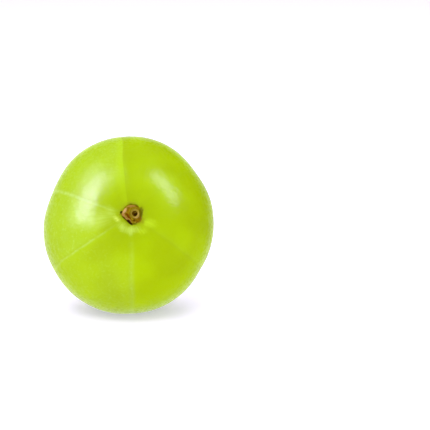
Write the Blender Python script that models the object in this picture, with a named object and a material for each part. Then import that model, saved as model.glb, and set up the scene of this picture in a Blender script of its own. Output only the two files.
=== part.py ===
"""A whole Indian gooseberry (amla), as picked: a pale green, flattened globe with six shallow
furrows from pole to pole. It lies on its side on a small flat spot, with the stem end to the
front (-Y) and a little up. The brown scar there is a collar of dried sepals round the broken
end of the fruit stalk. Units are metres, +Z is up, and the origin is on the surface that the
fruit lies on, under the middle of its box.
"""

import math

import bmesh
import bpy
from mathutils import Euler, Vector

MM = 0.001

# The fruit's body, about its own stem axis. Angles round that axis are longitudes:
# counter-clockwise from the right, as seen from the stem end.
FRUIT_RADIUS = 20.05 * MM
OVALITY = 0.024
OVAL_ANGLE = math.radians(78)
STEM_FLATTENING = 0.12
BLOSSOM_FLATTENING = 0.15
FLATTENING_POWER = 3
STEM_BASIN_DEPTH = 1.2 * MM
STEM_BASIN_WIDTH = 5.5 * MM
BLOSSOM_BASIN_DEPTH = 1.3 * MM
BLOSSOM_BASIN_WIDTH = 4.5 * MM
STYLE_POINT_HEIGHT = 0.5 * MM
STYLE_POINT_WIDTH = 1.1 * MM
MERIDIANS_PER_SEGMENT = 12
PARALLELS = 40

# Each furrow: its longitude at the belt, how far that drifts by the poles, its depth and its
# width. The skin between two of them is a segment.
FURROWS = (
    (math.radians(38), math.radians(3), 0.50 * MM, 5.7 * MM),
    (math.radians(93), math.radians(8), 0.06 * MM, 3.6 * MM),
    (math.radians(156), math.radians(11), 0.72 * MM, 6.8 * MM),
    (math.radians(211), math.radians(6), 0.12 * MM, 3.6 * MM),
    (math.radians(271), math.radians(0), 0.14 * MM, 3.6 * MM),
    (math.radians(327), math.radians(-3), 0.30 * MM, 4.5 * MM),
)

# How the fruit lies.
STEM_TILT = math.radians(22)
STEM_TURN = math.radians(3)
FLAT_SPOT_DEPTH = 0.45 * MM

# The stalk's broken end, which stands in a socket a little to the right of the stem axis.
GAP = 0.3 * MM
STUB_PLACE = Vector((1.05, 0.0, 0.0)) * MM
STUB_RADIUS = 1.15 * MM
STUB_HEIGHT = 0.6 * MM
STUB_ROOT = 2.0 * MM
STUB_ROUNDING = 0.2 * MM
PITH_RADIUS = 0.55 * MM
PITH_FLOOR_RADIUS = 0.45 * MM
PITH_DEPTH = 0.9 * MM
STUB_SIDES = 24

# The collar of dried sepals, in a shallow seat round the stalk. It is thicker on the left.
COLLAR_PLACE = Vector((0.45, 0.0, 0.0)) * MM
COLLAR_RADIUS = 1.75 * MM
COLLAR_ROOT = 0.25 * MM
COLLAR_LEAN = 0.35
COLLAR_SIDES = 48

# The collar's section: each point's share of the way from the hole to the rim, and its height.
COLLAR_SECTION = (
    (0.0, -COLLAR_ROOT),
    (0.0, 0.38 * MM),
    (0.3, 0.34 * MM),
    (0.65, 0.58 * MM),
    (0.85, 0.50 * MM),
    (1.0, 0.18 * MM),
    (1.0, -0.15 * MM),
    (0.9, -COLLAR_ROOT),
)

# Each sepal: its longitude from the collar's middle, and how far its tip stands out there.
SEPALS = (
    (math.radians(177), 0.75 * MM),
    (math.radians(266), 0.50 * MM),
    (math.radians(312), 0.45 * MM),
    (math.radians(357), 0.45 * MM),
    (math.radians(51), 0.45 * MM),
    (math.radians(118), 0.45 * MM),
)
SEPAL_WIDTH = 0.85 * MM
SEAT_RADIUS = 2.6 * MM

SKIN_FINISH = {"colour": (0.46, 0.72, 0.02), "roughness": 0.3}
COLLAR_FINISH = {"colour": (0.30, 0.15, 0.05), "roughness": 0.6}
STUB_FINISH = {"colour": (0.38, 0.26, 0.08), "roughness": 0.7}


def clear_scene():
    for old in list(bpy.data.objects):
        bpy.data.objects.remove(old)


def finish(name, colour, roughness):
    """A plain, non-metallic material."""
    material = bpy.data.materials.new(name)
    material.use_nodes = True
    shader = material.node_tree.nodes["Principled BSDF"]
    shader.inputs["Base Color"].default_value = (*colour, 1)
    shader.inputs["Roughness"].default_value = roughness
    shader.inputs["Metallic"].default_value = 0
    return material


def object_from(bm, name, parent, material=None):
    """The bmesh as a smooth object that hangs from the parent."""
    mesh = bpy.data.meshes.new(name)
    bmesh.ops.recalc_face_normals(bm, faces=bm.faces)
    bm.to_mesh(mesh)
    bm.free()
    mesh.shade_smooth()
    mesh.set_sharp_from_angle(angle=math.radians(40))
    if material:
        mesh.materials.append(material)
    made = bpy.data.objects.new(name, mesh)
    bpy.context.scene.collection.objects.link(made)
    made.parent = parent
    return made


def turned(profile, sides, closed=False):
    """The profile of (radius, height) points turned about Z. A closed one makes a ring."""
    bm = bmesh.new()
    points = [bm.verts.new((radius, 0, height)) for radius, height in profile]
    pairs = zip(points, points[1:] + points[:1] if closed else points[1:])
    edges = [bm.edges.new(pair) for pair in pairs]
    bmesh.ops.spin(
        bm,
        geom=points + edges,
        cent=(0, 0, 0),
        axis=(0, 0, 1),
        angle=math.tau,
        steps=sides,
        use_merge=True,
    )
    bmesh.ops.remove_doubles(bm, verts=bm.verts, dist=0.001 * MM)
    return bm


def bump(distance, width):
    """1 at no distance, falling smoothly to 0 past the width."""
    return math.exp(-((distance / width) ** 2))


def angle_between(first, second):
    return abs((first - second + math.pi) % math.tau - math.pi)


def furrow_longitude(index, polar):
    """A furrow's longitude there. Past the last one they start again, a full turn on."""
    turns, index = divmod(index, len(FURROWS))
    angle, drift, _, _ = FURROWS[index]
    return turns * math.tau + angle + drift * (1 - math.sin(polar))


def segment_longitude(place, polar):
    """The longitude of a place counted in segments: 2.5 is halfway from furrow 2 to furrow 3."""
    index = math.floor(place)
    left = furrow_longitude(index, polar)
    right = furrow_longitude(index + 1, polar)
    return left + (right - left) * (place - index)


def furrow_depth(longitude, polar):
    """How far the furrows sink the skin. They fade towards the poles."""
    belt = math.sin(polar)
    depth = 0
    for index, (_, _, deepest, width) in enumerate(FURROWS):
        apart = angle_between(longitude, furrow_longitude(index, polar))
        depth += belt * deepest * bump(apart * belt * FRUIT_RADIUS, width)
    return depth


def skin_radius(longitude, polar):
    """The skin's distance from the fruit's centre. polar is the angle from the stem end."""
    along = math.cos(polar)
    flattening = STEM_FLATTENING if along > 0 else BLOSSOM_FLATTENING
    oval = OVALITY * math.cos(2 * (longitude - OVAL_ANGLE)) * math.sin(polar) ** 2
    radius = FRUIT_RADIUS * (1 + oval) * (1 - flattening * abs(along) ** FLATTENING_POWER)
    from_stem = FRUIT_RADIUS * polar
    from_blossom = FRUIT_RADIUS * (math.pi - polar)
    radius -= STEM_BASIN_DEPTH * bump(from_stem, STEM_BASIN_WIDTH)
    radius -= BLOSSOM_BASIN_DEPTH * bump(from_blossom, BLOSSOM_BASIN_WIDTH)
    radius += STYLE_POINT_HEIGHT * bump(from_blossom, STYLE_POINT_WIDTH)
    return radius - furrow_depth(longitude, polar)


def make_fruit(axis, lie):
    """The body, with its lowest part cut off level. Returns it and its centre's height."""
    bm = bmesh.new()
    meridians = MERIDIANS_PER_SEGMENT * len(FURROWS)
    bmesh.ops.create_uvsphere(bm, u_segments=meridians, v_segments=PARALLELS, radius=1)
    for vertex in bm.verts:
        way = vertex.co.normalized()
        polar = math.acos(max(-1, min(1, way.z)))
        turn = math.atan2(way.y, way.x) % math.tau
        column = round(turn / math.tau * meridians)
        longitude = segment_longitude(column / MERIDIANS_PER_SEGMENT, polar)
        across = Vector((math.cos(longitude), math.sin(longitude), 0)) * math.sin(polar)
        across.z = math.cos(polar)
        vertex.co = across * skin_radius(longitude, polar)
    lowest = min((lie @ vertex.co).z for vertex in bm.verts)
    height = -(lowest + FLAT_SPOT_DEPTH)
    down = lie.inverted() @ Vector((0, 0, -1))
    cut = bmesh.ops.bisect_plane(
        bm,
        geom=bm.verts[:] + bm.edges[:] + bm.faces[:],
        plane_co=down * height,
        plane_no=down,
        clear_outer=True,
    )
    rim = [part for part in cut["geom_cut"] if isinstance(part, bmesh.types.BMEdge)]
    bmesh.ops.edgeloop_fill(bm, edges=rim)
    return object_from(bm, "fruit", axis, finish("skin", **SKIN_FINISH)), height


def cut_from(solid, name, radius, depth, place):
    """A round cutter that sinks a flat-bottomed hole of that depth below the place."""
    clear = FRUIT_RADIUS - place.z
    profile = ((0, clear), (radius, clear), (radius, -depth), (0, -depth))
    cutter = object_from(turned(profile, COLLAR_SIDES), name, solid.parent)
    cutter.location = place
    cutter.hide_render = True
    cutter.display_type = "WIRE"
    boolean = solid.modifiers.new(name, "BOOLEAN")
    boolean.operation = "DIFFERENCE"
    boolean.object = cutter


def make_stub(axis, place):
    """The stalk's end: a short round peg, rounded at the rim, with its pith shrunk to a pit."""
    top = STUB_HEIGHT
    profile = (
        (0, top - PITH_DEPTH),
        (PITH_FLOOR_RADIUS, top - PITH_DEPTH),
        (PITH_RADIUS, top - STUB_ROUNDING),
        (PITH_RADIUS + STUB_ROUNDING, top),
        (STUB_RADIUS - STUB_ROUNDING, top),
        (STUB_RADIUS, top - STUB_ROUNDING),
        (STUB_RADIUS, -STUB_ROOT),
        (0, -STUB_ROOT),
    )
    bm = turned(profile, STUB_SIDES)
    stub = object_from(bm, "stalk_stub", axis, finish("stalk", **STUB_FINISH))
    stub.location = place
    return stub


def collar_reach(longitude):
    """The radius of the collar's outline, with a tip at each sepal."""
    reach = COLLAR_RADIUS
    for angle, tip in SEPALS:
        reach += tip * bump(angle_between(longitude, angle) * COLLAR_RADIUS, SEPAL_WIDTH)
    return reach


def make_collar(axis, place, stub_place):
    """The sepals, grown together into a ring round the stalk with a raised outer lip."""
    unit = 1
    ring = [(unit + share, height) for share, height in COLLAR_SECTION]
    bm = turned(ring, COLLAR_SIDES, closed=True)
    for vertex in bm.verts:
        longitude = math.atan2(vertex.co.y, vertex.co.x)
        outwards = Vector((math.cos(longitude), math.sin(longitude), 0))
        share = math.hypot(vertex.co.x, vertex.co.y) - unit
        height = vertex.co.z
        if height > 0:
            height *= 1 - COLLAR_LEAN * outwards.x
        hole_edge = stub_place - place + outwards * (STUB_RADIUS + GAP)
        rim_edge = outwards * collar_reach(longitude)
        vertex.co = hole_edge.lerp(rim_edge, share)
        vertex.co.z = height
    collar = object_from(bm, "calyx_collar", axis, finish("calyx", **COLLAR_FINISH))
    collar.location = place
    return collar


def stand_on_origin(axis, height, pieces):
    """Puts the flat spot at height 0 and the middle of the pieces' box over the origin."""
    axis.location = (0, 0, height)
    bpy.context.view_layer.update()
    graph = bpy.context.evaluated_depsgraph_get()
    places = []
    for piece in pieces:
        seen = piece.evaluated_get(graph)
        places += [seen.matrix_world @ vertex.co for vertex in seen.data.vertices]
    for side in (0, 1):
        ends = [place[side] for place in places]
        axis.location[side] = -(min(ends) + max(ends)) / 2
    bpy.context.view_layer.update()


def main():
    clear_scene()
    axis = bpy.data.objects.new("stem_axis", None)
    bpy.context.scene.collection.objects.link(axis)
    axis.rotation_euler = Euler((math.pi / 2 - STEM_TILT, 0, STEM_TURN))
    fruit, height = make_fruit(axis, axis.rotation_euler.to_matrix())
    pole = Vector((0, 0, skin_radius(0, 0)))
    cut_from(fruit, "collar_seat", SEAT_RADIUS + GAP, COLLAR_ROOT + GAP, pole + COLLAR_PLACE)
    cut_from(fruit, "stalk_socket", STUB_RADIUS + GAP, STUB_ROOT + GAP, pole + STUB_PLACE)
    stub = make_stub(axis, pole + STUB_PLACE)
    collar = make_collar(axis, pole + COLLAR_PLACE, pole + STUB_PLACE)
    stand_on_origin(axis, height, (fruit, stub, collar))


main()
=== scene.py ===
import math
import bpy
from mathutils import Euler, Matrix, Vector


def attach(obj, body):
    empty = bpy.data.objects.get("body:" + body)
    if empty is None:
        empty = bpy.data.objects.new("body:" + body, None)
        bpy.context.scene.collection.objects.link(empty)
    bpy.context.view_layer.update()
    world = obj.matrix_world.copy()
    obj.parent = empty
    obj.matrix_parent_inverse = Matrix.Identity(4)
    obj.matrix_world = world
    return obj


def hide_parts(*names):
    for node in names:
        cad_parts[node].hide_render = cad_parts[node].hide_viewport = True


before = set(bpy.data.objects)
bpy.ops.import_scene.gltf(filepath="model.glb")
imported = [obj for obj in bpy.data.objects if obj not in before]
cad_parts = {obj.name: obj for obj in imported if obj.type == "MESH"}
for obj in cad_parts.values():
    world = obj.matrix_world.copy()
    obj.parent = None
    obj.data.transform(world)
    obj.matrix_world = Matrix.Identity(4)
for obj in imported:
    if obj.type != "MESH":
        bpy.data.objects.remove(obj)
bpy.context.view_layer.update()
mm = 0.001
print("frame loaded:", ", ".join(sorted(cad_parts)))


# How the fruit lies. The stem frame has its origin on the skin at the stem end, +Z out of the
# fruit along its stem, and +X to the right for someone who looks at the stem end.
lie = {
    "stemTilt": 22,  # degrees up from the front
    "stemTurn": 3,  # degrees to the right
    "scarAside": 0.45 * mm,  # the scar is this far right of the stem axis
    "stubAside": 1.05 * mm,  # and the stalk's end this far
    "stubHeight": 0.6 * mm,
}


def findStemFrame():
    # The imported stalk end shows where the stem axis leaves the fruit.
    turn = Euler((math.radians(90 - lie["stemTilt"]), 0, math.radians(lie["stemTurn"])))
    turn = turn.to_matrix()
    places = [turn.inverted() @ vertex.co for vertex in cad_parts["stalk_stub"].data.vertices]
    lefts = [place.x for place in places]
    sides = [place.y for place in places]
    tops = [place.z for place in places]
    pole = Vector((
        (min(lefts) + max(lefts)) / 2 - lie["stubAside"],
        (min(sides) + max(sides)) / 2,
        max(tops) - lie["stubHeight"],
    ))
    return Matrix.LocRotScale(turn @ pole, turn, None)


stemFrame = findStemFrame()


# Small helpers for modelling as by hand.


def makeActive(piece):
    bpy.ops.object.select_all(action="DESELECT")
    piece.select_set(True)
    bpy.context.view_layer.objects.active = piece


def pickPoints(piece, test):
    # Selects the points that pass the test, and leaves the piece in edit mode.
    bpy.ops.object.mode_set(mode="OBJECT")
    mesh = piece.data
    for group in (mesh.vertices, mesh.edges, mesh.polygons):
        group.foreach_set("select", [False] * len(group))
    for vertex in mesh.vertices:
        vertex.select = bool(test(vertex.co))
    bpy.ops.object.mode_set(mode="EDIT")
    bpy.ops.mesh.select_mode(type="VERT")


def pull(piece, test, move, reach):
    # Moves the picked points, and what is near them a little less.
    pickPoints(piece, test)
    bpy.ops.transform.translate(
        value=move,
        use_proportional_edit=True,
        proportional_edit_falloff="SMOOTH",
        proportional_size=reach,
    )
    bpy.ops.object.mode_set(mode="OBJECT")


def growRings(rings):
    # Extrudes the selected loop from ring to ring: (radius, height, place along X).
    for (oldRadius, oldHeight, oldAside), (radius, height, aside) in zip(rings, rings[1:]):
        ratio = radius / oldRadius
        bpy.ops.mesh.extrude_region_move()
        bpy.ops.transform.resize(value=(ratio, ratio, 1), center_override=(oldAside, 0, 0))
        bpy.ops.transform.translate(value=(aside - oldAside, 0, height - oldHeight))


def startRings(name, rings, sides):
    # A round piece in the stem frame: a circle, then rings extruded from it.
    radius, height, aside = rings[0]
    bpy.ops.object.select_all(action="DESELECT")
    bpy.ops.mesh.primitive_circle_add(vertices=sides, radius=radius, location=(aside, 0, height))
    piece = bpy.context.object
    piece.name = name
    piece.data.name = name
    bpy.ops.object.transform_apply(location=True, rotation=True, scale=True)
    bpy.ops.object.mode_set(mode="EDIT")
    bpy.ops.mesh.select_all(action="SELECT")
    growRings(rings)
    return piece


def ringsAt(aside, rings):
    # The same place along X for every (radius, height).
    return [(radius, height, aside) for radius, height in rings]


def selectOpenEdges():
    bpy.ops.mesh.select_non_manifold(
        extend=False,
        use_wire=False,
        use_boundary=True,
        use_multi_face=False,
        use_non_contiguous=False,
        use_verts=False,
    )


def faceOutwards():
    # Turns every face of the piece in edit mode outwards, and leaves edit mode.
    bpy.ops.mesh.select_all(action="SELECT")
    bpy.ops.mesh.normals_make_consistent(inside=False)
    bpy.ops.object.mode_set(mode="OBJECT")


def applyModifier(piece, kind, **settings):
    makeActive(piece)
    modifier = piece.modifiers.new(kind.title(), kind)
    for name, value in settings.items():
        setattr(modifier, name, value)
    bpy.ops.object.modifier_apply(modifier=modifier.name)


def smoothen(piece, levels):
    applyModifier(piece, "SUBSURF", levels=levels, render_levels=levels)


def roughen(piece, grain, strength):
    # Pushes the surface in and out with clouds of that grain.
    texture = bpy.data.textures.new(piece.name + "Clouds", "CLOUDS")
    texture.noise_scale = grain
    texture.noise_depth = 2
    applyModifier(piece, "DISPLACE", texture=texture, strength=strength, mid_level=0.5)


def placeInWorld(piece, material):
    # Moves a piece from the stem frame to its place on the fruit, and finishes it.
    makeActive(piece)
    piece.matrix_world = stemFrame
    bpy.ops.object.transform_apply(location=True, rotation=True, scale=True)
    bpy.ops.object.shade_smooth()
    piece.data.materials.clear()
    piece.data.materials.append(material)


# Small helpers for materials. A value is a number, a colour or another node's socket.


def newMaterial(name):
    material = bpy.data.materials.new(name)
    material.use_nodes = True
    return material, material.node_tree.nodes["Principled BSDF"]


def addNode(tree, kind, **settings):
    node = tree.nodes.new(kind)
    for name, value in settings.items():
        setattr(node, name, value)
    return node


def feed(tree, socket, value):
    if isinstance(value, bpy.types.NodeSocket):
        tree.links.new(value, socket)
    elif isinstance(value, tuple):
        socket.default_value = (*value, 1) if len(socket.default_value) > len(value) else value
    else:
        socket.default_value = value


def calc(tree, operation, *values):
    node = addNode(tree, "ShaderNodeMath", operation=operation)
    for socket, value in zip(node.inputs, values):
        feed(tree, socket, value)
    return node.outputs[0]


def times(tree, first, *others):
    for other in others:
        first = calc(tree, "MULTIPLY", first, other)
    return first


def lengthOf(tree, x, y):
    return calc(tree, "SQRT", calc(tree, "ADD", times(tree, x, x), times(tree, y, y)))


def ramp(tree, value, start, end, low=0.0, high=1.0):
    # The value low up to start, high from end on, and smooth between them.
    node = addNode(tree, "ShaderNodeMapRange", interpolation_type="SMOOTHSTEP")
    for socket, number in zip(node.inputs, (value, start, end, low, high)):
        feed(tree, socket, number)
    return node.outputs[0]


def mixColour(tree, share, below, above):
    node = addNode(tree, "ShaderNodeMix", data_type="RGBA")
    feed(tree, node.inputs[0], share)
    feed(tree, node.inputs[6], below)
    feed(tree, node.inputs[7], above)
    return node.outputs[2]


def noise(tree, vector, size, detail=2.0, roughness=0.5):
    # Noise whose blots are about that size, in the vector's own units.
    node = addNode(tree, "ShaderNodeTexNoise")
    feed(tree, node.inputs["Vector"], vector)
    node.inputs["Scale"].default_value = 1 / size
    node.inputs["Detail"].default_value = detail
    node.inputs["Roughness"].default_value = roughness
    return node.outputs["Fac"]


def combine(tree, x, y, z):
    node = addNode(tree, "ShaderNodeCombineXYZ")
    for socket, value in zip(node.inputs, (x, y, z)):
        feed(tree, socket, value)
    return node.outputs[0]


def split(tree, vector):
    node = addNode(tree, "ShaderNodeSeparateXYZ")
    feed(tree, node.inputs[0], vector)
    return node.outputs


def stemCoordinates(tree):
    # The place on the piece in the stem frame, in millimetres.
    place = addNode(tree, "ShaderNodeTexCoord").outputs["Object"]
    mapping = addNode(tree, "ShaderNodeMapping", vector_type="TEXTURE")
    feed(tree, mapping.inputs["Vector"], place)
    mapping.inputs["Location"].default_value = stemFrame.to_translation()
    mapping.inputs["Rotation"].default_value = stemFrame.to_euler()
    mapping.inputs["Scale"].default_value = (mm, mm, mm)
    return mapping.outputs["Vector"]


def addBump(tree, shader, heights):
    # heights: pairs of a height between 0 and 1 and what it stands for in metres.
    normal = None
    for height, depth in heights:
        bump = addNode(tree, "ShaderNodeBump")
        bump.inputs["Distance"].default_value = depth
        feed(tree, bump.inputs["Height"], height)
        if normal:
            tree.links.new(normal, bump.inputs["Normal"])
        normal = bump.outputs["Normal"]
    tree.links.new(normal, shader.inputs["Normal"])


# The skin. Angles round the stem are longitudes in degrees, counter-clockwise from the right.
skinShape = {
    "radius": 20.05 * mm,
    "centreDepth": 16.44 * mm,  # the fruit's centre below the stem end
    "mergeWithin": 0.01 * mm,
    "quadAngle": 40,  # degrees: flatter pairs of triangles become one face
    "capRadius": 3.9 * mm,  # the skin is rebuilt inside this round the scar
    "rimRadius": 4.03 * mm,
    "rimHeight": 0.35 * mm,
    "creaseReach": 0.12 * mm,
    "swellGrain": 7 * mm,
    "swellHeight": 0.12 * mm,
}

# Each furrow: longitude at the belt, how far that drifts by the poles, how deep its crease is,
# how pale its line is and how wide in millimetres, how strongly shade is painted on its right and
# light on its left, how far that painted shade reaches, and how much painted sheen the skin on its
# left has.
furrows = (
    {"angle": 38, "drift": 3, "crease": 0.01, "pale": 0.02, "width": 0.7,
     "dark": 0.05, "shade": 1.3, "paintedSheen": 0.0},
    {"angle": 93, "drift": 8, "crease": 0.05, "pale": 0.03, "width": 0.5,
     "dark": 0.45, "shade": 3.6, "paintedSheen": 0.36},
    {"angle": 156, "drift": 11, "crease": 0.04, "pale": 0.55, "width": 0.6,
     "dark": 0.0, "shade": 1.3, "paintedSheen": 0.50},
    {"angle": 211, "drift": 6, "crease": 0.03, "pale": 0.28, "width": 0.45,
     "dark": 0.15, "shade": 1.3, "paintedSheen": 0.22},
    {"angle": 271, "drift": 0, "crease": 0.02, "pale": 0.12, "width": 1.1,
     "dark": 0.1, "shade": 1.3, "paintedSheen": 0.0},
    {"angle": 327, "drift": -3, "crease": 0.03, "pale": 0.03, "width": 1.0,
     "dark": 0.15, "shade": 1.3, "paintedSheen": 0.0},
)

# Marks on the scar: tone, place and half size in millimetres in the stem frame, how the length is
# turned in degrees, and how strongly the mark shows. A later mark covers an earlier one. Many of
# them are painted light and shade: painted highlight on the lip at the left, which catches the
# light, painted shadow under that lip, round the collar and in the stalk's pit, and painted shade
# in the collar's valley and round its edge, over the calyx's own browns, olive and pinkish tan.
scarMarks = (
    ("olive", (2.45, 0.30), (1.6, 0.55), 85, 0.8),
    ("brown", (1.90, -1.40), (1.2, 0.65), 42, 0.85),
    ("olive", (0.70, 2.00), (1.4, 0.26), -5, 0.8),
    ("pink", (0.30, 1.60), (1.1, 0.28), 2, 0.6),
    ("brown", (-0.40, 0.90), (0.75, 0.45), 60, 0.8),
    ("brown", (-2.10, -0.15), (0.4, 0.3), 0, 0.4),
    ("pink", (-1.40, -0.25), (0.5, 0.35), -40, 0.9),
    ("brown", (-0.33, 0.00), (0.6, 0.5), 0, 0.6),
    ("cream", (-1.12, 0.65), (0.85, 0.36), 58, 1.0),
    ("pink", (-0.60, -1.10), (1.6, 0.28), -38, 0.72),
    ("redBrown", (-0.40, -0.55), (1.35, 0.3), -52, 0.9),
    ("darkBrown", (-1.10, -1.15), (1.3, 0.17), -42, 0.8),
    ("olive", (1.00, -2.30), (0.8, 0.2), 5, 0.7),
    ("paleOlive", (1.05, -1.95), (0.26, 0.22), 0, 0.8),
    ("darkBrown", (0.92, -1.45), (0.42, 0.32), 80, 1.0),
    ("darkBrown", (1.55, 1.65), (0.35, 0.2), -25, 0.7),
    ("cream", (1.85, -0.35), (0.7, 0.3), 80, 0.3),
    ("cream", (1.35, -0.90), (0.5, 0.2), 12, 0.3),
    # painted shadow under the lip, round the collar and in the stalk's pit
    ("crack", (-0.10, -1.90), (1.0, 0.36), -40, 1.0),
    ("crack", (-1.93, 0.38), (0.48, 0.3), 80, 1.0),
    ("crack", (1.25, -0.15), (0.5, 0.4), 45, 0.9),
    ("paleOlive", (1.15, 0.24), (0.12, 0.12), 0, 0.7),
)

# Marks on the skin round it, in the same way: an olive halo, partly the skin's own
# discolouration and partly painted shade round the collar, and pale bloom.
skinMarks = (
    ("halo", (0.45, -0.10), (3.7, 3.7), 0, 0.8),
    ("paleOlive", (0.40, 2.45), (1.6, 0.35), 0, 0.6),
    ("paleOlive", (-1.90, 1.15), (0.5, 0.35), 45, 0.7),
    ("paleOlive", (-1.30, 1.75), (0.9, 0.45), 45, 0.6),
    ("paleOlive", (2.95, 0.90), (0.8, 0.25), 75, 0.5),
    ("bloom", (0.05, -3.75), (1.5, 1.2), 90, 1.0),
    ("bloom", (-1.60, -3.00), (2.1, 1.3), -42, 0.8),
    ("bloom", (-7.00, -1.00), (5.0, 3.0), 15, 0.7),
    ("paleBloom", (-2.95, -1.00), (1.2, 0.8), -40, 1.0),
    ("bloom", (-4.30, 0.60), (2.2, 1.3), 120, 0.6),
    ("yellowBloom", (4.30, -2.20), (2.4, 1.4), -10, 0.7),
    ("yellowBloom", (2.60, -3.90), (1.8, 1.1), 10, 0.6),
    ("bloom", (1.20, -3.40), (1.5, 1.0), 0, 0.6),
    ("halo", (2.60, -1.80), (1.3, 0.7), 45, 0.8),
)

# The marks' colours.
scarTones = {
    # painted shadow
    "crack": (0.025, 0.008, 0.0005),
    "redBrown": (0.135, 0.030, 0.0008),
    # the calyx's own dark brown, with painted shade in its valley and notch
    "darkBrown": (0.12, 0.055, 0.001),
    "brown": (0.22, 0.115, 0.002),
    # the collar's olive, with painted shade round its edge
    "olive": (0.145, 0.130, 0.001),
    "paleOlive": (0.33, 0.28, 0.02),
    # the skin's olive discolouration, with painted shade round the collar
    "halo": (0.26, 0.29, 0.002),
    # the calyx's pinkish tan, with painted highlight along the lit lip
    "pink": (0.38, 0.19, 0.052),
    # painted highlight on the lip
    "cream": (0.60, 0.38, 0.13),
    "bloom": (0.50, 0.68, 0.09),
    "paleBloom": (0.68, 0.84, 0.12),
    "yellowBloom": (0.50, 0.70, 0.02),
}

markLook = {
    "scarCore": 0.5,  # a mark is at full strength up to this share of the way to its edge
    "skinCore": 0.0,
    "edge": 1.05,
    "depth": 20,  # millimetres into the fruit
    "scarWander": 0.25,  # its edge wanders by this many millimetres
    "skinWander": 0.5,
    "wanderScale": 1.6,
    "wanderDetail": 3.0,
}


def softSpot(tree, place, spot, core):
    # How strongly a mark shows at a place. It fades from its core to its edge.
    (x, y), (length, width), turn, share = spot
    mapping = addNode(tree, "ShaderNodeMapping", vector_type="TEXTURE")
    feed(tree, mapping.inputs["Vector"], place)
    mapping.inputs["Location"].default_value = (x, y, 0)
    mapping.inputs["Rotation"].default_value = (0, 0, math.radians(turn))
    mapping.inputs["Scale"].default_value = (length, width, markLook["depth"])
    reach = addNode(tree, "ShaderNodeVectorMath", operation="LENGTH")
    feed(tree, reach.inputs[0], mapping.outputs["Vector"])
    return ramp(tree, reach.outputs["Value"], core, markLook["edge"], share, 0.0)


def paintMarks(tree, colour, marks, core, wander, cover=1.0):
    stem = stemCoordinates(tree)
    clouds = addNode(tree, "ShaderNodeTexNoise")
    feed(tree, clouds.inputs["Vector"], stem)
    clouds.inputs["Scale"].default_value = markLook["wanderScale"]
    clouds.inputs["Detail"].default_value = markLook["wanderDetail"]
    shift = addNode(tree, "ShaderNodeVectorMath", operation="MULTIPLY_ADD")
    feed(tree, shift.inputs[0], clouds.outputs["Color"])
    shift.inputs[1].default_value = (2 * wander, 2 * wander, 0)
    shift.inputs[2].default_value = (-wander, -wander, 0)
    place = addNode(tree, "ShaderNodeVectorMath", operation="ADD")
    feed(tree, place.inputs[0], stem)
    feed(tree, place.inputs[1], shift.outputs["Vector"])
    for tone, *spot in marks:
        share = times(tree, softSpot(tree, place.outputs["Vector"], spot, core), cover)
        colour = mixColour(tree, share, colour, scarTones[tone])
    return colour


def paintScar(tree, colour):
    return paintMarks(tree, colour, scarMarks, markLook["scarCore"], markLook["scarWander"])


def paintRoundScar(tree, colour, cover):
    return paintMarks(
        tree, colour, skinMarks, markLook["skinCore"], markLook["skinWander"], cover
    )


# Rings of skin from the rim inwards: radius, height and place along X.
basinRings = (
    (3.45 * mm, 0.30 * mm, 0.15 * mm),
    (2.90 * mm, 0.25 * mm, 0.35 * mm),
    (2.45 * mm, 0.25 * mm, lie["scarAside"]),
    (2.15 * mm, 0.22 * mm, lie["scarAside"]),
    (1.90 * mm, 0.00 * mm, lie["scarAside"]),
    (1.30 * mm, -0.30 * mm, lie["scarAside"]),
)


def furrowLongitude(index, polar):
    turns, index = divmod(index, len(furrows))
    furrow = furrows[index]
    return turns * 360 + furrow["angle"] + furrow["drift"] * (1 - math.sin(polar))


def polarAngle(point):
    way = point + Vector((0, 0, skinShape["centreDepth"]))
    return math.atan2(math.hypot(way.x, way.y), way.z)


def segmentPlace(point):
    # The longitude counted in segments: 2.5 is halfway from furrow 2 to furrow 3.
    polar = polarAngle(point)
    longitude = math.degrees(math.atan2(point.y, point.x)) % 360
    first = furrowLongitude(0, polar)
    if longitude < first:
        longitude += 360
    for index in range(len(furrows)):
        left = furrowLongitude(index, polar)
        right = furrowLongitude(index + 1, polar)
        if longitude <= right:
            return index + (longitude - left) / (right - left)
    return float(len(furrows))


def mapSegments(skin):
    # A UV map that follows the fruit: U counts segments, V is the way from the stem end in mm.
    mesh = skin.data
    places = []
    for vertex in mesh.vertices:
        onAxis = math.hypot(vertex.co.x, vertex.co.y) < skinShape["mergeWithin"]
        place = None if onAxis else segmentPlace(vertex.co)
        places.append((place, polarAngle(vertex.co) * skinShape["radius"] / mm))
    layer = mesh.uv_layers.new(name="segmentMap")
    for polygon in mesh.polygons:
        known = [places[index][0] for index in polygon.vertices if places[index][0] is not None]
        wraps = max(known) - min(known) > len(furrows) / 2
        if wraps:
            known = [place + len(furrows) if place < 1 else place for place in known]
        middle = sum(known) / len(known)
        for loop, index in zip(polygon.loop_indices, polygon.vertices):
            place, way = places[index]
            if place is None:
                place = middle
            elif wraps and place < 1:
                place += len(furrows)
            layer.data[loop].uv = (place, way)


def creaseFurrows(skin):
    # The line at the bottom of each furrow is a fine crease.
    count = len(furrows)
    for wanted, furrow in enumerate(furrows):
        def inFurrow(point):
            across = math.hypot(point.x, point.y)
            if across < skinShape["rimRadius"]:
                return False
            place = segmentPlace(point)
            aside = abs(place - round(place)) * across * math.tau / count
            return round(place) % count == wanted and aside < skinShape["creaseReach"]

        pickPoints(skin, inFurrow)
        bpy.ops.transform.shrink_fatten(value=-furrow["crease"] * mm)
        bpy.ops.object.mode_set(mode="OBJECT")


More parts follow.
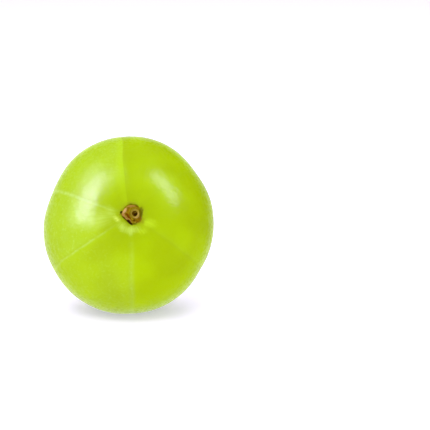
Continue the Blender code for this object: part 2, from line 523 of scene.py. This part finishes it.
def copyFruit():
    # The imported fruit's mesh in the stem frame, merged and in edit mode.
    bpy.ops.object.select_all(action="DESELECT")
    skin = bpy.data.objects.new("skin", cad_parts["fruit"].data.copy())
    bpy.context.scene.collection.objects.link(skin)
    makeActive(skin)
    skin.matrix_world = stemFrame.inverted()
    bpy.ops.object.transform_apply(location=True, rotation=True, scale=True)
    bpy.ops.object.mode_set(mode="EDIT")
    bpy.ops.mesh.select_all(action="SELECT")
    bpy.ops.mesh.remove_doubles(threshold=skinShape["mergeWithin"])
    angle = math.radians(skinShape["quadAngle"])
    bpy.ops.mesh.tris_convert_to_quads(face_threshold=angle, shape_threshold=angle)
    return skin


def rebuildScarBasin(skin):
    # The seat that was cut for the collar goes, and rings of skin close the basin.
    cap = skinShape["capRadius"]
    front = -skinShape["centreDepth"] / 2
    pickPoints(skin, lambda p: math.hypot(p.x, p.y) < cap and p.z > front)
    bpy.ops.mesh.delete(type="VERT")
    bpy.ops.mesh.select_all(action="DESELECT")
    selectOpenEdges()
    growRings(((skinShape["rimRadius"], skinShape["rimHeight"], 0), *basinRings))
    bpy.ops.mesh.edge_face_add()
    faceOutwards()


def makeSkin():
    skin = copyFruit()
    rebuildScarBasin(skin)
    smoothen(skin, 1)
    creaseFurrows(skin)
    smoothen(skin, 1)
    roughen(skin, skinShape["swellGrain"], skinShape["swellHeight"])
    mapSegments(skin)
    placeInWorld(skin, skinMaterial())
    pickPoints(skin, lambda p: p.z < 0)
    bpy.ops.transform.resize(value=(1, 1, 0), center_override=(0, 0, 0))
    bpy.ops.object.mode_set(mode="OBJECT")
    return skin


# The skin's look. A Range is the stretch of a noise over which a layer comes in. Starts and Ends
# are stretches of the way from the stem end over which it comes or goes, and an Edge is such a
# stretch to the side of a line, both in millimetres.
skinLook = {
    "green": (0.350, 0.490, 0.0006),
    "lightGreen": (0.390, 0.565, 0.0008),
    # painted sheen: the paler skin on the segments that face the left light
    "paintedSheen": (0.43, 0.64, 0.055),
    # painted light on the lit side of a crease
    "paintedLight": (0.46, 0.68, 0.008),
    "speck": (0.50, 0.72, 0.10),
    "line": (0.56, 0.76, 0.20),
    # darker green: painted shade on the shaded side of a crease, and the deeper green near the
    # scar
    "darkGreen": (0.31, 0.44, 0.0005),
    "fibre": (0.42, 0.60, 0.004),
    "patchGrain": 9 * mm,
    "patchRange": (0.35, 0.65),
    # where the painted sheen comes in from the stem end, and where it fades towards the far end
    "paintedSheenStarts": (7.0, 17.0),
    "paintedSheenEnds": (30.0, 48.0),
    "mottleGrain": 1.6 * mm,
    "mottleRange": (0.3, 0.7),
    "speckGrain": 0.6 * mm,
    "speckRange": (0.52, 0.75),
    "speckShares": (0.8, 0.01),  # for each share of painted sheen, and everywhere
    "fibresAcross": 14.0,
    "fibreStretch": 0.16,
    "fibreDepth": 0.03 * mm,
    "streakRange": (0.45, 0.7),
    "streakEnds": (4.0, 16.0),
    "streakShares": (1.2, 0.35),
    "lineGrain": 1.2 * mm,
    "lineRange": (0.3, 0.6),
    "lineStarts": (3.5, 12.0),
    "lineEnds": (30.0, 50.0),
    "lineWander": 0.06,  # of a segment's width
    "lineWanderGrain": 8 * mm,
    # where the painted shade beside a line comes in and where it is full, then where the painted
    # light on the line's other side comes in and fades
    "darkEdge": (-0.15, 0.1),
    "darkFull": -0.2,
    "farthestShade": 5.0,  # mm, the most that a furrow's shade can reach
    "glowEdge": (-0.1, 0.15),
    "glowFarEdge": (0.4, 2.2),
    "matteEdge": (0.2, 1.1),
    "matte": 0.1,  # rougher by this on a line
    "deepEnds": (4.0, 11.0),
    "deepShare": 0.45,
    "coverRange": (0.35, 0.65),
    "dentGrain": 2.4 * mm,
    "dentDepth": 0.12 * mm,
    "poreGrain": 0.7 * mm,
    "poreDepth": 0.03 * mm,
    "roughness": (0.255, 0.305),
    "shineGrain": 0.9 * mm,
    "shineRange": (0.35, 0.65),
    "ior": 1.1,
    "scatter": 0.3,
    "scatterReach": 3 * mm,
    "scatterShares": (1.0, 1.3, 0.2),
}


def furrowTable(tree, place, name, most=1.0):
    # One value of each furrow, divided by most, in a ramp with hard steps. place counts segments.
    count = len(furrows)
    node = addNode(tree, "ShaderNodeValToRGB")
    node.color_ramp.interpolation = "CONSTANT"
    stops = node.color_ramp.elements
    while len(stops) < count:
        stops.new(1.0)
    for index, furrow in enumerate(furrows):
        value = furrow[name] / most
        stops[index].position = index / count
        stops[index].color = (value, value, value, 1)
    feed(tree, node.inputs[0], calc(tree, "FRACT", calc(tree, "DIVIDE", place, count)))
    return node.outputs[0]


def skinSpot(tree):
    # Where a point is: its turn round the stem and its way from the stem end, the segment it is
    # in, the line it is nearest to and how far it is to the side of that line.
    place = addNode(tree, "ShaderNodeTexCoord").outputs["Object"]
    uv = split(tree, addNode(tree, "ShaderNodeUVMap", uv_map="segmentMap").outputs[0])
    count = len(furrows)
    radius = skinShape["radius"] / mm
    clouds = noise(tree, place, skinLook["lineWanderGrain"], 1.0)
    wander = times(tree, calc(tree, "SUBTRACT", clouds, 0.5), skinLook["lineWander"])
    segment = calc(tree, "ADD", uv[0], wander)
    belt = calc(tree, "SINE", calc(tree, "DIVIDE", uv[1], radius))
    fromLine = calc(tree, "SUBTRACT", segment, calc(tree, "ROUND", segment))
    return {
        "place": place,
        "turn": times(tree, uv[0], math.tau / count),
        "way": uv[1],
        "segment": segment,
        "line": calc(tree, "ADD", segment, 0.5),
        "aside": times(tree, fromLine, times(tree, belt, radius * math.tau / count)),
    }


def skinFibres(tree, spot):
    # Fibres that run from the stem end to the blossom end, under the skin.
    across = skinLook["fibresAcross"]
    fibreX = times(tree, calc(tree, "COSINE", spot["turn"]), across)
    fibreY = times(tree, calc(tree, "SINE", spot["turn"]), across)
    fibreZ = times(tree, spot["way"], skinLook["fibreStretch"])
    return noise(tree, combine(tree, fibreX, fibreY, fibreZ), 1.0, 3.0, 0.6)


def paintSegments(tree, spot, fibres):
    # Greener and lighter patches, then painted sheen on the segments that face the left light,
    # with pale specks and fibres that show most under it.
    look = skinLook
    place, way = spot["place"], spot["way"]
    patches = ramp(tree, noise(tree, place, look["patchGrain"], 1.0), *look["patchRange"])
    colour = mixColour(tree, patches, look["green"], look["lightGreen"])
    # Painted sheen on the segments that face the left light.
    paintedSheen = furrowTable(tree, spot["segment"], "paintedSheen")
    paintedSheen = times(tree, paintedSheen, ramp(tree, way, *look["paintedSheenStarts"], 0.1, 1.0))
    paintedSheen = times(tree, paintedSheen, ramp(tree, way, *look["paintedSheenEnds"], 1.0, 0.4))
    clouds = noise(tree, place, look["mottleGrain"], 3.0, 0.6)
    mottle = ramp(tree, clouds, *look["mottleRange"], 0.5, 1.0)
    colour = mixColour(tree, times(tree, paintedSheen, mottle), colour, look["paintedSheen"])
    specks = ramp(tree, noise(tree, place, look["speckGrain"], 1.0), *look["speckRange"])
    specks = times(tree, specks, calc(tree, "MULTIPLY_ADD", paintedSheen, *look["speckShares"]))
    colour = mixColour(tree, specks, colour, look["speck"])
    fading = ramp(tree, way, *look["streakEnds"], 0.5, 0.1)
    streaks = times(tree, ramp(tree, fibres, *look["streakRange"]), fading)
    streaks = times(tree, streaks, calc(tree, "MULTIPLY_ADD", paintedSheen, *look["streakShares"]))
    return mixColour(tree, streaks, colour, look["fibre"])


def linePaleness(tree, spot):
    pale = furrowTable(tree, spot["line"], "pale")
    pale = times(tree, pale, ramp(tree, spot["way"], *skinLook["lineStarts"], 0.2, 1.0))
    return times(tree, pale, ramp(tree, spot["way"], *skinLook["lineEnds"], 1.0, 0.5))


def paintLines(tree, spot, colour, pale):
    # A pale line in each furrow, with painted shade on its right and painted light on its left, as
    # on a crease lit from the left.
    look = skinLook
    line, aside = spot["line"], spot["aside"]
    # dark: how strongly shade is painted on the right of a line and light on its left
    dark = furrowTable(tree, line, "dark")
    shade = furrowTable(tree, line, "shade", look["farthestShade"])
    shade = times(tree, shade, -look["farthestShade"])
    nearLine = ramp(tree, aside, *look["darkEdge"], 1.0, 0.0)
    # painted shade on the shaded side of the crease
    rightOf = times(tree, nearLine, ramp(tree, aside, shade, look["darkFull"]), dark)
    colour = mixColour(tree, rightOf, colour, look["darkGreen"])
    nearLine = ramp(tree, aside, *look["glowEdge"])
    # painted light on the lit side of the crease
    leftOf = times(tree, nearLine, ramp(tree, aside, *look["glowFarEdge"], 1.0, 0.0), dark)
    colour = mixColour(tree, leftOf, colour, look["paintedLight"])
    width = furrowTable(tree, line, "width")
    distance = calc(tree, "ABSOLUTE", aside)
    onLine = ramp(tree, calc(tree, "DIVIDE", distance, width), 0.0, 1.0, 1.0, 0.0)
    breaks = noise(tree, spot["place"], look["lineGrain"], 2.0)
    broken = ramp(tree, breaks, *look["lineRange"], 0.4, 1.0)
    return mixColour(tree, times(tree, onLine, pale, broken), colour, look["line"])


def skinMaterial():
    material, shader = newMaterial("gooseberrySkin")
    tree = material.node_tree
    look = skinLook
    spot = skinSpot(tree)
    fibres = skinFibres(tree, spot)
    pale = linePaleness(tree, spot)
    colour = paintSegments(tree, spot, fibres)
    colour = paintLines(tree, spot, colour, pale)

    # Near the scar the green is deeper, with the scar's marks on it, painted shade and highlight
    # among them.
    deep = ramp(tree, spot["way"], *look["deepEnds"], look["deepShare"], 0.0)
    colour = mixColour(tree, deep, colour, look["darkGreen"])
    colour = paintRoundScar(tree, colour, ramp(tree, fibres, *look["coverRange"], 0.5, 1.0))
    colour = paintScar(tree, colour)
    feed(tree, shader.inputs["Base Color"], colour)

    # The wax shines unevenly, and less on the lines.
    place = spot["place"]
    distance = calc(tree, "ABSOLUTE", spot["aside"])
    matte = times(tree, ramp(tree, distance, *look["matteEdge"], 1.0, 0.0), pale)
    clouds = noise(tree, place, look["shineGrain"], 3.0, 0.65)
    shine = ramp(tree, clouds, *look["shineRange"], *look["roughness"])
    roughness = calc(tree, "MULTIPLY_ADD", matte, look["matte"], shine)
    feed(tree, shader.inputs["Roughness"], roughness)
    shader.inputs["IOR"].default_value = look["ior"]
    shader.inputs["Subsurface Weight"].default_value = look["scatter"]
    shader.inputs["Subsurface Radius"].default_value = look["scatterShares"]
    shader.inputs["Subsurface Scale"].default_value = look["scatterReach"]
    addBump(tree, shader, (
        (noise(tree, place, look["dentGrain"], 2.0), look["dentDepth"]),
        (noise(tree, place, look["poreGrain"], 2.0), look["poreDepth"]),
        (fibres, look["fibreDepth"]),
    ))
    return material


# The calyx: dried sepals grown together into a corky collar, with a raised lip on the left.
calyxShape = {
    "sides": 36,
    "outerRadius": 1.9 * mm,
    "tipHalf": 6,  # degrees to each side of a sepal's middle
    "tipReach": 0.9 * mm,
    "rimInside": 1.6 * mm,  # the lip and the low right side lie outside this radius
    "lipFrom": 150,  # degrees round the calyx, as lipTo and rightHalf
    "lipTo": 250,
    "lipAbove": 0.45 * mm,
    "lipRise": 0.16 * mm,
    "lipReach": 0.5 * mm,
    "rightHalf": 60,
    "rightAbove": 0.3 * mm,
    "rightDrop": 0.2 * mm,
    "rightReach": 0.6 * mm,
    "grain": 0.5 * mm,
    "roughness": 0.12 * mm,
}

# The collar's rings from under its inner edge, over the lip, to under its rim: radius, height and
# place along X, which goes from the stalk's middle to the scar's.
calyxRings = (
    (1.02 * mm, -0.25 * mm, lie["stubAside"]),
    (1.02 * mm, 0.25 * mm, lie["stubAside"]),
    (1.12 * mm, 0.42 * mm, 1.00 * mm),
    (1.30 * mm, 0.46 * mm, 0.90 * mm),
    (1.48 * mm, 0.40 * mm, 0.78 * mm),
    (1.60 * mm, 0.34 * mm, 0.68 * mm),
    (1.72 * mm, 0.46 * mm, 0.58 * mm),
    (1.88 * mm, 0.57 * mm, 0.50 * mm),
    (2.04 * mm, 0.48 * mm, lie["scarAside"]),
    (2.12 * mm, 0.22 * mm, lie["scarAside"]),
    (2.05 * mm, -0.15 * mm, lie["scarAside"]),
    (1.80 * mm, -0.28 * mm, lie["scarAside"]),
)

# Each sepal's tip: its longitude from the collar's middle, and how far it is drawn out. The rim at
# 223 degrees is pushed in, where it is broken off straight.
sepals = (
    {"angle": 177, "tip": 0.34 * mm},
    {"angle": 223, "tip": -0.30 * mm},
    {"angle": 266, "tip": 0.16 * mm},
    {"angle": 312, "tip": 0.12 * mm},
    {"angle": 51, "tip": 0.06 * mm},
    {"angle": 118, "tip": 0.06 * mm},
)


def fromCalyx(point):
    # The angle in degrees and the distance from the calyx's middle.
    x = point.x - lie["scarAside"]
    return math.degrees(math.atan2(point.y, x)) % 360, math.hypot(x, point.y)


def angleApart(first, second):
    return abs((first - second + 180) % 360 - 180)


def drawOutTips(calyx):
    shape = calyxShape
    for sepal in sepals:
        def atTip(point):
            angle, distance = fromCalyx(point)
            near = angleApart(angle, sepal["angle"]) < shape["tipHalf"]
            return near and distance > shape["outerRadius"]

        turn = math.radians(sepal["angle"])
        move = (math.cos(turn) * sepal["tip"], math.sin(turn) * sepal["tip"], 0)
        pull(calyx, atTip, move, shape["tipReach"])


def shapeRim(calyx):
    # The lip on the left stands higher, and the right side lies lower.
    shape = calyxShape

    def onLip(point):
        angle, distance = fromCalyx(point)
        inArc = shape["lipFrom"] < angle < shape["lipTo"]
        return point.z > shape["lipAbove"] and inArc and distance > shape["rimInside"]

    def onRight(point):
        angle, distance = fromCalyx(point)
        inArc = angleApart(angle, 0) < shape["rightHalf"]
        return point.z > shape["rightAbove"] and inArc and distance > shape["rimInside"]

    pull(calyx, onLip, (0, 0, shape["lipRise"]), shape["lipReach"])
    pull(calyx, onRight, (0, 0, -shape["rightDrop"]), shape["rightReach"])


def makeCalyx():
    calyx = startRings("calyxCollar", calyxRings, calyxShape["sides"])
    bpy.ops.mesh.select_all(action="DESELECT")
    selectOpenEdges()
    bpy.ops.mesh.bridge_edge_loops()
    faceOutwards()
    drawOutTips(calyx)
    shapeRim(calyx)
    smoothen(calyx, 3)
    roughen(calyx, calyxShape["grain"], calyxShape["roughness"])
    placeInWorld(calyx, calyxMaterial())
    return calyx


calyxLook = {
    "brown": (0.21, 0.135, 0.002),
    "olive": (0.27, 0.215, 0.004),
    "fleck": (0.10, 0.05, 0.002),
    "fleckShare": 0.3,
    "blotchGrain": 0.45 * mm,
    "blotchDepth": 0.10 * mm,
    "fleckGrain": 0.14 * mm,
    "fleckDepth": 0.04 * mm,
    "roughness": 0.75,
}


def calyxMaterial():
    material, shader = newMaterial("driedCalyx")
    tree = material.node_tree
    look = calyxLook
    place = addNode(tree, "ShaderNodeTexCoord").outputs["Object"]
    blotches = noise(tree, place, look["blotchGrain"], 3.0, 0.6)
    flecks = noise(tree, place, look["fleckGrain"], 2.0)
    colour = mixColour(tree, ramp(tree, blotches, 0.38, 0.6), look["brown"], look["olive"])
    colour = paintScar(tree, colour)
    share = ramp(tree, flecks, 0.5, 0.7, 0.0, look["fleckShare"])
    colour = mixColour(tree, share, colour, look["fleck"])
    feed(tree, shader.inputs["Base Color"], colour)
    shader.inputs["Roughness"].default_value = look["roughness"]
    shader.inputs["Specular IOR Level"].default_value = 0
    addBump(tree, shader, ((blotches, look["blotchDepth"]), (flecks, look["fleckDepth"])))
    return material


# The broken end of the stalk: a fibrous rim round a dark pit where the pith has shrunk.
stalkShape = {"sides": 32, "grain": 0.35 * mm, "roughness": 0.06 * mm}

# The stalk's rings from the pit, over the rim, to its root: radius and height.
stalkRings = (
    (0.42 * mm, -0.10 * mm),
    (0.52 * mm, 0.06 * mm),
    (0.57 * mm, 0.30 * mm),
    (0.62 * mm, 0.44 * mm),
    (0.74 * mm, 0.52 * mm),
    (0.90 * mm, 0.52 * mm),
    (1.02 * mm, 0.46 * mm),
    (1.10 * mm, 0.30 * mm),
    (1.12 * mm, -0.20 * mm),
)


def makeStalkEnd():
    shape = stalkShape
    stalk = startRings("stalkEnd", ringsAt(lie["stubAside"], stalkRings), shape["sides"])
    bpy.ops.mesh.select_all(action="SELECT")
    bpy.ops.mesh.fill_holes(sides=0)
    faceOutwards()
    smoothen(stalk, 2)
    roughen(stalk, shape["grain"], shape["roughness"])
    placeInWorld(stalk, stalkMaterial())
    return stalk


stalkLook = {
    "pit": (0.115, 0.060, 0.001),
    "pitEdge": (0.5, 0.66),  # mm from the stalk's middle
    "brown": (0.22, 0.16, 0.010),
    "tan": (0.36, 0.265, 0.040),
    "lightSide": (-0.8, 0.9),  # mm along X: the left is browner
    "grain": 0.25 * mm,
    "grainDepth": 0.06 * mm,
    "roughness": 0.75,
}


def stalkMaterial():
    material, shader = newMaterial("stalkFibre")
    tree = material.node_tree
    look = stalkLook
    place = addNode(tree, "ShaderNodeTexCoord").outputs["Object"]
    spot = split(tree, stemCoordinates(tree))
    spotX = calc(tree, "SUBTRACT", spot[0], lie["stubAside"] / mm)
    grain = noise(tree, place, look["grain"], 3.0, 0.6)
    light = times(
        tree, ramp(tree, grain, 0.3, 0.65), ramp(tree, spotX, *look["lightSide"], 0.3, 1.0)
    )
    colour = mixColour(tree, light, look["brown"], look["tan"])
    inPit = ramp(tree, lengthOf(tree, spotX, spot[1]), *look["pitEdge"], 1.0, 0.0)
    colour = mixColour(tree, inPit, colour, look["pit"])
    colour = paintScar(tree, colour)
    feed(tree, shader.inputs["Base Color"], colour)
    shader.inputs["Roughness"].default_value = look["roughness"]
    shader.inputs["Specular IOR Level"].default_value = 0
    addBump(tree, shader, ((grain, look["grainDepth"]),))
    return material


# The dried remains of the style, on the point at the blossom end.
styleShape = {"sides": 12, "grain": 0.3 * mm, "roughness": 0.1 * mm}

# Its rings from its root to its hollow tip: radius and height.
styleRings = (
    (0.75 * mm, -0.20 * mm),
    (0.70 * mm, 0.02 * mm),
    (0.50 * mm, 0.12 * mm),
    (0.30 * mm, 0.30 * mm),
    (0.20 * mm, 0.36 * mm),
    (0.10 * mm, 0.22 * mm),
)


def blossomEnd():
    # The height of the fruit's far end in the stem frame.
    inFrame = stemFrame.inverted()
    onAxis = []
    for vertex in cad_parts["fruit"].data.vertices:
        point = inFrame @ vertex.co
        if math.hypot(point.x, point.y) < 0.1 * mm:
            onAxis.append(point.z)
    return min(onAxis)


def makeStyleTip():
    # It points the other way from the stem.
    tip = startRings("styleTip", ringsAt(0, styleRings), styleShape["sides"])
    bpy.ops.mesh.select_all(action="SELECT")
    bpy.ops.mesh.fill_holes(sides=0)
    bpy.ops.object.mode_set(mode="OBJECT")
    makeActive(tip)
    tip.rotation_euler = (math.pi, 0, 0)
    tip.location = (0, 0, blossomEnd())
    bpy.ops.object.transform_apply(location=True, rotation=True, scale=True)
    bpy.ops.object.mode_set(mode="EDIT")
    faceOutwards()
    smoothen(tip, 2)
    roughen(tip, styleShape["grain"], styleShape["roughness"])
    placeInWorld(tip, styleMaterial())
    return tip


styleLook = {
    "dark": (0.05, 0.02, 0.004),
    "brown": (0.22, 0.12, 0.03),
    "grain": 0.25 * mm,
    "grainDepth": 0.08 * mm,
    "roughness": 0.7,
}


def styleMaterial():
    material, shader = newMaterial("driedStyle")
    tree = material.node_tree
    look = styleLook
    place = addNode(tree, "ShaderNodeTexCoord").outputs["Object"]
    grain = noise(tree, place, look["grain"], 3.0, 0.6)
    colour = mixColour(tree, ramp(tree, grain, 0.35, 0.65), look["dark"], look["brown"])
    feed(tree, shader.inputs["Base Color"], colour)
    shader.inputs["Roughness"].default_value = look["roughness"]
    addBump(tree, shader, ((grain, look["grainDepth"]),))
    return material


# The camera: straight in front and a little above, with the fruit left of the middle.
cameraPlace = {
    "lens": 135,  # mm
    "sensor": 36,  # mm
    "clipStart": 0.01,
    "elevation": 13.4,  # degrees
    "azimuth": 1.8,  # degrees to the right of straight in front
    "turn": -3.143,  # it looks this far past the fruit, which leaves that left of the middle
    "lift": 0.337,  # and this far above it
    "distance": 0.3695,
    "target": (0, 0, 19.8 * mm),
}


def viewFrame():
    # X to the right in the picture, Y up and Z from the fruit to the camera.
    tilt = math.radians(90 - cameraPlace["elevation"])
    return Euler((tilt, 0, math.radians(cameraPlace["azimuth"]))).to_matrix()


def makeCamera():
    place = cameraPlace
    back = viewFrame() @ Vector((0, 0, place["distance"]))
    bpy.ops.object.camera_add(location=Vector(place["target"]) + back)
    camera = bpy.context.object
    camera.name = "camera"
    camera.rotation_euler = (
        math.radians(90 - place["elevation"] + place["lift"]),
        0,
        math.radians(place["azimuth"] + place["turn"]),
    )
    camera.data.lens = place["lens"]
    camera.data.sensor_width = place["sensor"]
    camera.data.clip_start = place["clipStart"]
    bpy.context.scene.camera = camera


# The light: a white studio, a soft key from the upper left, and soft boxes for the highlights. The
# sky changes where a ray's agreement with a Way, from -1 to 1, passes through its Edge.
studio = {
    "frontSky": 0.94,  # how bright the sky is in front, for matt light
    "backSky": 0.26,
    "frontWay": (0, -0.9, 0.44),
    "frontEdge": (-0.5, 0.7),
    "gloss": 1.6,  # how bright the sky is behind, in reflections
    "glossWay": (-0.10, 0.88, -0.46),  # the skin's rim mirrors the sky this way
    "glossEdge": (0.45, 0.9),
    "floorGlow": (0.35, 0.32, 0.48),
    "floorColour": (0.86, 0.80, 0.96),
    "floorSize": 3.0,
    "boxColour": (0.80, 0.78, 1.0),
}

# Lights that the skin doesn't mirror. Places and sizes are in metres, powers in watts.
softLights = (
    {"name": "keyLight", "place": (-0.10, -0.34, 0.46), "size": 0.25, "power": 1.0},
    {"name": "topLight", "place": (0.03, 0.30, 0.50), "size": 0.5, "power": 1.55},
)

# Lights that only show as highlights. A box lies along the line from one direction to another,
# seen from the fruit, with x to the right, y up the picture and z towards the camera.
softBoxes = (
    {"name": "leftBox", "start": (-0.43, 0.79, 0.44), "end": (-0.75, 0.44, 0.50),
     "width": 0.24, "power": 21.0, "distance": 0.5},
    {"name": "leftCore", "start": (-0.62, 0.42, 0.66), "end": (-0.81, 0.40, 0.43),
     "width": 0.13, "power": 14.0, "distance": 0.49},
    {"name": "leftGlow", "start": (-0.39, 0.91, 0.26), "end": (-0.83, 0.17, 0.54),
     "width": 0.5, "power": 21.0, "distance": 0.52},
    {"name": "rightBox", "start": (0.46, 0.78, 0.42), "end": (0.76, 0.47, 0.45),
     "width": 0.11, "power": 11.0, "distance": 0.5},
)


def facing(tree, direction, way):
    # How much a ray's direction agrees with that way: 1 along it, -1 against it.
    node = addNode(tree, "ShaderNodeVectorMath", operation="DOT_PRODUCT")
    feed(tree, node.inputs[0], direction)
    node.inputs[1].default_value = way
    return node.outputs["Value"]


def makeStudio():
    # The sky is white for the camera, even and soft for matt light, and bright behind for gloss.
    scene = bpy.context.scene
    scene.view_settings.view_transform = "Standard"
    world = bpy.data.worlds.new("studio")
    scene.world = world
    world.use_nodes = True
    world.cycles.sampling_method = "NONE"  # only so does the sky know what kind of ray meets it
    tree = world.node_tree
    tree.nodes.clear()
    rays = addNode(tree, "ShaderNodeLightPath").outputs
    direction = addNode(tree, "ShaderNodeTexCoord").outputs["Generated"]
    toBack = facing(tree, direction, studio["glossWay"])
    gloss = ramp(tree, toBack, *studio["glossEdge"], 0.0, studio["gloss"])
    toFront = facing(tree, direction, studio["frontWay"])
    ambient = ramp(tree, toFront, *studio["frontEdge"], studio["backSky"], studio["frontSky"])
    gloss = times(tree, gloss, rays["Is Glossy Ray"])
    ambient = times(tree, ambient, calc(tree, "SUBTRACT", 1.0, rays["Is Glossy Ray"]))
    strength = calc(tree, "ADD", gloss, ambient)
    strength = calc(tree, "MAXIMUM", strength, rays["Is Camera Ray"])
    background = addNode(tree, "ShaderNodeBackground")
    background.inputs["Color"].default_value = (1, 1, 1, 1)
    feed(tree, background.inputs["Strength"], strength)
    output = addNode(tree, "ShaderNodeOutputWorld")
    tree.links.new(background.outputs[0], output.inputs[0])


def makeFloor():
    bpy.ops.mesh.primitive_plane_add(size=studio["floorSize"], location=(0, 0, 0))
    floor = bpy.context.object
    floor.name = "floor"
    material, shader = newMaterial("whiteFloor")
    shader.inputs["Base Color"].default_value = (*studio["floorColour"], 1)
    shader.inputs["Roughness"].default_value = 1
    shader.inputs["Specular IOR Level"].default_value = 0
    shader.inputs["Emission Color"].default_value = (*studio["floorGlow"], 1)
    shader.inputs["Emission Strength"].default_value = 1
    floor.data.materials.append(material)
    floor.visible_glossy = False


def addAreaLight(name, place, turn, size, power):
    bpy.ops.object.light_add(type="AREA", location=place)
    light = bpy.context.object
    light.name = name
    light.rotation_euler = turn
    light.data.shape = "RECTANGLE"
    light.data.size = size[0]
    light.data.size_y = size[1]
    light.data.energy = power
    return light


def makeSoftLights(middle):
    for soft in softLights:
        place = Vector(soft["place"])
        turn = (place - middle).to_track_quat("Z", "Y").to_euler()
        size = (soft["size"], soft["size"])
        light = addAreaLight(soft["name"], place, turn, size, soft["power"])
        light.visible_glossy = False


def makeSoftBoxes(middle):
    view = viewFrame()
    for box in softBoxes:
        start = view @ Vector(box["start"]).normalized()
        end = view @ Vector(box["end"]).normalized()
        out = (start + end).normalized()
        along = (start - end).normalized()
        across = along.cross(out).normalized()
        turn = Matrix((across, out.cross(across), out)).transposed().to_euler()
        length = 2 * box["distance"] * math.tan(start.angle(end) / 2)
        size = (box["width"], length)
        light = addAreaLight(box["name"], middle + out * box["distance"], turn, size, box["power"])
        light.data.color = studio["boxColour"]
        light.visible_diffuse = False


makeCamera()
makeStudio()
makeFloor()
makeSoftLights(Vector(cameraPlace["target"]))
makeSoftBoxes(Vector(cameraPlace["target"]))
print("studio ready")

skin = makeSkin()
print("skin:", len(skin.data.polygons), "faces")
calyx = makeCalyx()
print("calyx:", len(calyx.data.polygons), "faces")
stalk = makeStalkEnd()
print("stalk end:", len(stalk.data.polygons), "faces")
tip = makeStyleTip()
print("style tip:", len(tip.data.polygons), "faces")

for piece, slot in ((skin, "skin"), (calyx, "calyx"), (stalk, "stalk"), (tip, "stalk")):
    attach(piece, "root")
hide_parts("fruit")
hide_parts("calyx_collar")
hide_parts("stalk_stub")
